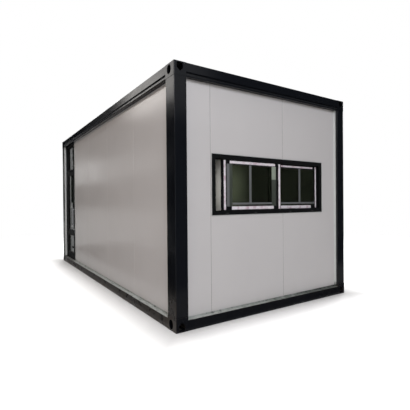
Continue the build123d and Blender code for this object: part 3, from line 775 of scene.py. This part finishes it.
# each set: pane face, paint, then its bars as from and to across the wall, from and to in height
barSets = {
    "barsLeft": (paneLeft, greyBar, [
        (-0.629, 0.021, railFoot, railHead), (-0.712, -0.674, paneFoot, paneHead),
        (-0.362, -0.328, railHead, paneHead)]),
    # painted shade: the dark green stands for the jamb and the strip's lower part in shade
    "shadedBarsLeft": (paneLeft, shadedGreenBar, [
        (-0.674, -0.629, paneFoot, paneHead), (0.021, 0.092, paneFoot, litStripFoot)]),
    # painted light: the pale green stands for the strip's lit upper part
    "litStripLeft": (paneLeft, litGreenBar, [(0.021, 0.092, litStripFoot, paneHead)]),
    "barsRight": (paneRight, greyBar, [
        (0.200, 0.898, railFoot, railHead), (0.566, 0.600, railHead, paneHead)]),
}
for barName, (paneFace, paint, lengths) in barSets.items():
    outerFace = paneFace + barSetup["thickness"]
    bars = joined(barName, [block("length", (paneFace, start, foot), (outerFace, end, head))
                            for start, end, foot, head in lengths])
    soften(bars, barSetup["round"])
    dress(bars, paint, "house")
print("pane bars:", len(barSets))

gasketSetup = {"band": 0.009, "thickness": 0.005, "round": 0.0018}


def gasket(name, paneNode, sideOut, body, low=None, high=None):
    # a ring lying on one face of a pane, against the frame round it
    paneLow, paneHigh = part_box(paneNode)
    low, high = low or paneLow, high or paneHigh
    middle = (low + high) / 2
    if sideOut.x:
        middle.x = paneHigh.x
        turn, size = (0, quarter, 0), (high.z - low.z, high.y - low.y)
    else:
        middle.y = paneLow.y if sideOut.y < 0 else paneHigh.y
        turn, size = (quarter, 0, 0), (high.x - low.x, high.z - low.z)
    ring = flatCard(name, middle, turn, size)
    flatRing(gasketSetup["band"])
    push(sideOut * gasketSetup["thickness"])
    finishMesh(ring)
    soften(ring, gasketSetup["round"])
    dress(ring, gasketRubber, body)


outEnd, outFront, intoRoom = Vector((1, 0, 0)), Vector((0, -1, 0)), Vector((0, 1, 0))
gasket("gasketWindowLeft", "window_glass_left", outEnd, "house")
gasket("gasketWindowRight", "window_glass_right", outEnd, "house")
gasket("gasketTransom", "transom_glass", outFront, "house")
gasket("gasketTransomRoom", "transom_glass", intoRoom, "house")
# the leaf's two panes are one node, so its lock rail divides them
paneLow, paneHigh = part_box("door_glass")
leafSetup = {"lowerPaneHead": 0.660, "upperPaneFoot": 0.780}
lowerHigh = Vector((paneHigh.x, paneHigh.y, leafSetup["lowerPaneHead"]))
upperLow = Vector((paneLow.x, paneLow.y, leafSetup["upperPaneFoot"]))
for face, sideOut in (("Front", outFront), ("Room", intoRoom)):
    gasket("gasketDoorLower" + face, "door_glass", sideOut, "door", high=lowerHigh)
    gasket("gasketDoorUpper" + face, "door_glass", sideOut, "door", low=upperLow)
print("gaskets fitted")

sealantSetup = {"band": 0.007, "rise": 0.005, "round": 0.002, "cuts": 40, "lump": 0.05, "wander": 0.0015}
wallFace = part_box("window_end_panel_2")[1].x
grow = 2 * sealantSetup["band"]
bead = flatCard(
    "windowSealant", (wallFace, (windowLow.y + windowHigh.y) / 2, (windowLow.z + windowHigh.z) / 2),
    (0, quarter, 0), (windowHigh.z - windowLow.z + grow, windowHigh.y - windowLow.y + grow))
flatRing(sealantSetup["band"])
bpy.ops.mesh.subdivide(number_cuts=sealantSetup["cuts"])
push(outEnd * sealantSetup["rise"])
finishMesh(bead)
soften(bead, sealantSetup["round"])
lumps = bpy.data.textures.new("windowSealant", "CLOUDS")
lumps.noise_scale = sealantSetup["lump"]
applyModifier(bead, "DISPLACE", texture=lumps, texture_coords="LOCAL", direction="X",
              strength=sealantSetup["wander"], mid_level=0.5)
dress(bead, sealant, "house")

capSetup = {
    "width": 0.034, "height": 0.011, "proud": 0.004, "lip": 0.001, "mouth": 0.006, "round": 0.0012,
    "level": 1.258, "spots": (-0.72, -0.28, 0.34, 0.78),
}
cap = block("drainCap", (0, -capSetup["width"] / 2, -capSetup["height"] / 2),
            (capSetup["proud"], capSetup["width"] / 2, capSetup["height"] / 2))
pick(cap, "FACE", lambda face: face.normal.z < -squareOn)
bpy.ops.mesh.inset(thickness=capSetup["lip"])
push((0, 0, capSetup["mouth"]))  # the mouth that lets rain out
bpy.ops.object.mode_set(mode="OBJECT")
soften(cap, capSetup["round"])
capPlaces = [(windowHigh.x, spot, capSetup["level"]) for spot in capSetup["spots"]]
caps = copyTo(cap, "windowDrainCaps", capPlaces)
bpy.data.objects.remove(cap)
dress(caps, capNylon, "house")
print("window dressed")


# Panel joints: a line of grey butyl in the groove between each two panels, dark enough to stand in for the
# groove's shadow too (painted shade)
jointSetup = {
    "width": 0.0036, "below": 0.0015, "depth": 0.004, "round": 0.0008, "foot": 0.137, "head": 2.744,
}
frontPanels = [f"front_wall_panel_{number}" for number in range(1, 5)]
endPanels = [f"window_end_panel_{number}" for number in range(1, 4)]
# each wall: its panels, the axis that runs along it, its outer face and which way that faces
walls = {
    "Front": (frontPanels, 0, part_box("front_wall_panel_1")[0].y, -1),
    "WindowEnd": (endPanels, 1, wallFace, 1),
    "Back": (["back_wall_panels"], 0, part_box("back_wall_panels")[1].y, 1),
    "PlainEnd": (["plain_end_panels"], 1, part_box("plain_end_panels")[0].x, -1),
}


def jointLengths(panels, along, face, facing):
    # read from the panels' edges low down, where no window cuts them
    out = 1 - along
    corners = [vertex.co for panel in panels for vertex in nodes[panel].data.vertices]
    edges = sorted({round(co[along], hairDigits) for co in corners
                    if abs(co[out] - face) < hair and co.z < jointSetup["foot"]})
    depths = sorted((face - facing * jointSetup["below"], face - facing * jointSetup["depth"]))
    lengths = []
    for left, right in zip(edges[1:-1:2], edges[2:-1:2]):
        middle = (left + right) / 2
        spans = [(jointSetup["foot"], jointSetup["head"])]
        if panels is endPanels and windowLow.y < middle < windowHigh.y:
            spans = [(jointSetup["foot"], windowLow.z), (windowHigh.z, jointSetup["head"])]
        for foot, head in spans:
            low, high = [0, 0, foot], [0, 0, head]
            low[along], high[along] = middle - jointSetup["width"] / 2, middle + jointSetup["width"] / 2
            low[out], high[out] = depths
            lengths.append(block("length", low, high))
    return lengths


for wallName, wall in walls.items():
    lengths = jointLengths(*wall)
    joint = joined("joints" + wallName, lengths)
    soften(joint, jointSetup["round"])
    dress(joint, butylAndGrooveShade, "house")


# Rivets: one dome, copied along the base flashing and up the edge trims
rivetSetup = {
    "radius": 0.0042, "rise": 0.0020, "segments": 10, "rings": 6,
    "flashingSpacing": 0.30, "trimSpacing": 0.42, "level": 0.127, "end": 0.06,
    "inset": 0.006, "sheet": 0.002,  # from the wall's ends, and the trims' thickness
}
freshStart()
bpy.ops.mesh.primitive_uv_sphere_add(
    segments=rivetSetup["segments"], ring_count=rivetSetup["rings"], radius=rivetSetup["radius"])
rivet = named("rivet")
bpy.ops.object.mode_set(mode="EDIT")
bpy.ops.mesh.select_all(action="SELECT")
bpy.ops.mesh.bisect(plane_co=(0, 0, 0), plane_no=(0, 0, 1), clear_inner=True, use_fill=True)
bpy.ops.mesh.select_all(action="SELECT")
bpy.ops.transform.resize(value=(1, 1, rivetSetup["rise"] / rivetSetup["radius"]))
finishMesh(rivet)
trimLow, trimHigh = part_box("wall_edge_trims")
trimLevels = between(trimLow.z + rivetSetup["end"], trimHigh.z - rivetSetup["end"], rivetSetup["trimSpacing"])
runs = {wallName: (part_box(panels[0])[0][along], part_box(panels[-1])[1][along])
        for wallName, (panels, along, face, facing) in walls.items()}
for wallName, (panels, along, face, facing) in walls.items():
    start, end = runs[wallName]
    flashing = between(start + rivetSetup["end"], end - rivetSetup["end"], rivetSetup["flashingSpacing"])
    spots = [(across, rivetSetup["level"]) for across in flashing]
    if wallName == "Front":  # beyond its door it ends where the back does
        start, end = runs["Back"]
    for edge in (start + rivetSetup["inset"], end - rivetSetup["inset"]):
        spots += [(edge, level) for level in trimLevels]
    outer = face + facing * rivetSetup["sheet"]
    places = [(outer, spot, level) if along else (spot, outer, level) for spot, level in spots]
    turn = (0, facing * quarter, 0) if along else (-facing * quarter, 0, 0)
    dress(copyTo(rivet, "rivets" + wallName, places, turn), rivetMetal, "house")
bpy.data.objects.remove(rivet)
print("rivets set")


# Roof: screws with washers on every rib
screwSetup = {
    "washer": 0.009, "washerHeight": 0.0016, "facets": 12, "head": 0.0048, "headHeight": 0.005,
    "chamfer": 0.001, "crown": 0.0006, "smooth": 30, "rows": 6, "edge": 0.10,
}
freshStart()
bpy.ops.mesh.primitive_cylinder_add(
    vertices=screwSetup["facets"], radius=screwSetup["washer"], depth=screwSetup["washerHeight"],
    location=(0, 0, screwSetup["washerHeight"] / 2))
screw = named("roofScrew")
pick(screw, "FACE", lambda face: face.normal.z > squareOn)
bpy.ops.mesh.inset(thickness=screwSetup["washer"] - screwSetup["head"])
push((0, 0, screwSetup["headHeight"]))
bpy.ops.mesh.inset(thickness=screwSetup["chamfer"])
push((0, 0, screwSetup["crown"]))
bpy.ops.object.mode_set(mode="OBJECT")
finishMesh(screw, screwSetup["smooth"])
sheetLow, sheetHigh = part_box("roof_sheet")
crestEdges = sorted({round(vertex.co.x, hairDigits) for vertex in nodes["roof_sheet"].data.vertices
                     if vertex.co.z > sheetHigh.z - hair})
crestMiddles = [(left + right) / 2 for left, right in zip(crestEdges[::2], crestEdges[1::2])]
screwRows = between(sheetLow.y + screwSetup["edge"], sheetHigh.y - screwSetup["edge"],
                    (sheetHigh.y - sheetLow.y) / screwSetup["rows"])
screwPlaces = [(along, across, sheetHigh.z) for along in crestMiddles for across in screwRows]
screws = copyTo(screw, "roofScrews", screwPlaces)
bpy.data.objects.remove(screw)
dress(screws, screwMetal, "house")
print("roof screws:", len(screwPlaces))


# Roof fittings: a black moulded rubber plug in each top slot, put there as painted shade so that the fittings
# stay dark inside
plugSetup = {
    "radius": 0.0292, "facets": 32, "reach": 0.0248, "depth": 0.010, "rim": 0.009, "pan": 0.006,
    "round": 0.0015, "below": 0.0008,
    "fromEnd": 0.100, "fromSide": 0.075,  # middle of the slot, from the fitting's outer faces
}
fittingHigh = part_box("roof_corner_fittings")[1]
freshStart()
bpy.ops.mesh.primitive_cylinder_add(
    vertices=plugSetup["facets"], radius=plugSetup["radius"], depth=plugSetup["depth"],
    location=(0, 0, -plugSetup["depth"] / 2))
plug = named("slotPlug")
for side in (1, -1):
    pick(plug, "VERT", lambda corner: corner.co.x * side > hair)
    bpy.ops.transform.translate(value=(side * plugSetup["reach"], 0, 0))
    bpy.ops.object.mode_set(mode="OBJECT")
pick(plug, "FACE", lambda face: face.normal.z > squareOn)
bpy.ops.mesh.inset(thickness=plugSetup["rim"])
push((0, 0, -plugSetup["pan"]))
bpy.ops.object.mode_set(mode="OBJECT")
soften(plug, plugSetup["round"])
plugPlaces = [(x * (fittingHigh.x - plugSetup["fromEnd"]), y * (fittingHigh.y - plugSetup["fromSide"]),
               fittingHigh.z - plugSetup["below"]) for x in (1, -1) for y in (1, -1)]
plugs = copyTo(plug, "slotPlugs", plugPlaces)
bpy.data.objects.remove(plug)
# painted shade: the black plugs keep the inside of the fittings dark
dress(plugs, gasketRubber, "house")
print("slot plugs:", len(plugPlaces))


# Door bay: capping on the panel's edge and a lock
cappingSetup = {
    "cover": 0.016, "proud": 0.003, "sheet": 0.0015, "round": 0.0006,
    "overEdge": 0.0005, "gap": 0.0002,  # clear of the panel's edge and face
}
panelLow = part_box("front_wall_panel_1")[0]
edgeCap = block(
    "panelEdgeCapping",
    (panelLow.x - cappingSetup["overEdge"], panelLow.y - cappingSetup["proud"], trimLow.z),
    (panelLow.x + cappingSetup["cover"], panelLow.y - cappingSetup["gap"], trimHigh.z))
pick(edgeCap, "FACE", lambda face: face.normal.x > squareOn or face.normal.y > squareOn)
bpy.ops.mesh.delete(type="FACE")
bpy.ops.object.mode_set(mode="OBJECT")
applyModifier(edgeCap, "SOLIDIFY", thickness=cappingSetup["sheet"], offset=-1.0)
soften(edgeCap, cappingSetup["round"])
dress(edgeCap, slotMaterials["trim_coat"], "house")

lockSetup = {
    "radius": 0.017, "facets": 40, "rise": 0.006, "level": 0.80, "round": 0.0006,
    "plug": 0.0085, "plugRise": 0.0025, "groove": 0.0015,  # the groove's width and depth round the plug
    "slotInset": 0.0060, "slotShape": (0.45, 1, 1.9), "slotDepth": 0.004,
}
leafLow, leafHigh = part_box("door_leaf")
lockX = (leafHigh.x + paneHigh.x) / 2
freshStart()
bpy.ops.mesh.primitive_cylinder_add(
    vertices=lockSetup["facets"], radius=lockSetup["radius"], depth=lockSetup["rise"],
    location=(lockX, leafLow.y - lockSetup["rise"] / 2, lockSetup["level"]), rotation=(quarter, 0, 0))
lock = named("doorLock")
pick(lock, "FACE", lambda face: face.normal.y < -squareOn)
bpy.ops.mesh.inset(thickness=lockSetup["radius"] - lockSetup["plug"] - lockSetup["groove"])
push((0, lockSetup["groove"], 0))
bpy.ops.mesh.inset(thickness=lockSetup["groove"])
push((0, -lockSetup["plugRise"], 0))
bpy.ops.mesh.inset(thickness=lockSetup["slotInset"])
bpy.ops.transform.resize(value=lockSetup["slotShape"])
push((0, lockSetup["slotDepth"], 0))
bpy.ops.object.mode_set(mode="OBJECT")
soften(lock, lockSetup["round"])
dress(lock, slotMaterials["pull_steel"], "door")
print("door dressed")
